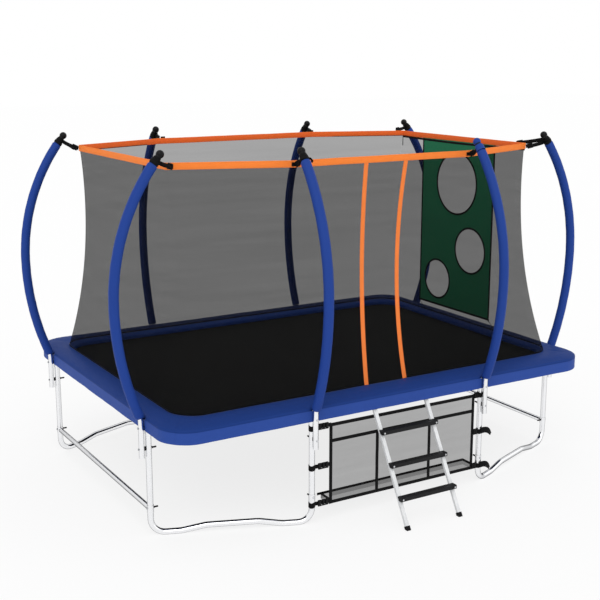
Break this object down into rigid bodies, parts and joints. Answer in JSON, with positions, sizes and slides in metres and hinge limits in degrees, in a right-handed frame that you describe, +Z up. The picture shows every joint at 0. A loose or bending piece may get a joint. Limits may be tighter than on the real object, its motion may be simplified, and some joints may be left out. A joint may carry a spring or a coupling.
{
  "type": "trampoline",
  "caption": "Rectangular garden trampoline with padded spring bed, bowed foam-covered poles, safety net, ball target, ladder and storage bag.",
  "frame": {"origin": "middle of the whole outline on the ground", "axes": "+Z up, +X along the bed, the ladder stands on the -Y side"},
  "size_m": [4.104, 3.397, 2.6461],
  "materials": {
    "galvanised_steel": "bright galvanised tube",
    "blue_foam_cover": "smooth blue foam sleeve",
    "black_plastic": "moulded black plastic",
    "black_webbing": "woven webbing",
    "zinc_plate": "zinc plated",
    "mat_fabric": "woven black jumping mat",
    "pad_vinyl": "blue coated cloth over foam",
    "skirt_fabric": "blue coated cloth",
    "net_mesh": "black knitted mesh",
    "orange_tape": "orange woven tape",
    "target_fabric": "green cloth",
    "ladder_paint": "light grey paint",
    "step_black": "black ribbed tread",
    "black_rubber": "moulded rubber"
  },
  "bodies": {
    "frame": {"rail_front": "galvanised_steel", "rail_back": "galvanised_steel", "rail_left": "galvanised_steel", "rail_right": "galvanised_steel", "leg_base_front_left": "galvanised_steel", "leg_base_front_right": "galvanised_steel", "leg_base_back_left": "galvanised_steel", "leg_base_back_right": "galvanised_steel", "leg_uprights": "galvanised_steel", "braces": "galvanised_steel", "pole_lowers": "galvanised_steel", "pole_uppers_front": "galvanised_steel", "pole_uppers_back": "galvanised_steel", "pole_uppers_left": "galvanised_steel", "pole_uppers_right": "galvanised_steel", "foam_front": "blue_foam_cover", "foam_back": "blue_foam_cover", "foam_left": "blue_foam_cover", "foam_right": "blue_foam_cover", "pole_caps": "black_plastic", "cap_straps": "black_webbing", "strap_buckles": "black_plastic", "pole_spacers": "black_plastic", "frame_bolts": "zinc_plate", "cap_nuts": "black_plastic", "springs": "zinc_plate", "pad_front": "pad_vinyl", "pad_back": "pad_vinyl", "pad_left": "pad_vinyl", "pad_right": "pad_vinyl", "skirt_front": "skirt_fabric", "skirt_flap": "skirt_fabric", "skirt_back": "skirt_fabric", "skirt_left": "skirt_fabric", "skirt_right": "skirt_fabric", "net_left": "net_mesh", "net_right": "net_mesh", "net_back": "net_mesh", "net_front_left": "net_mesh", "net_front_right": "net_mesh", "door_tapes": "orange_tape", "band_front": "orange_tape", "band_back": "orange_tape", "band_left": "orange_tape", "band_right": "orange_tape", "target_panel": "target_fabric", "target_binding": "black_webbing", "target_ties": "black_webbing", "storage_net": "net_mesh", "storage_webbing": "black_webbing", "storage_straps": "black_webbing"},
    "mat": {"mat": "mat_fabric", "mat_rings": "zinc_plate"},
    "door": {"door": "net_mesh"},
    "ladder": {"ladder_rails": "ladder_paint", "ladder_steps": "step_black", "ladder_feet": "black_rubber", "ladder_hooks": "zinc_plate", "ladder_bolts": "zinc_plate"}
  },
  "joints": [
    {"name": "mat_bounce", "type": "slide", "parent": "frame", "child": "mat", "axis": [0, 0, 1], "range_m": [-0.35, 0], "stiffness_N_per_m": 7000, "springref_m": 0.05, "deforming": ["springs"]},
    {"name": "door_swing", "type": "hinge", "parent": "frame", "child": "door", "pos_m": [-0.154, -0.97654, 1.7], "axis": [0, 0, 1], "range_deg": [0, 100]},
    {"name": "ladder_swing", "type": "hinge", "parent": "frame", "child": "ladder", "pos_m": [0, -1.24954, 0.832], "axis": [-1, 0, 0], "range_deg": [0, 50], "deforming": ["skirt_flap"]}
  ]
}
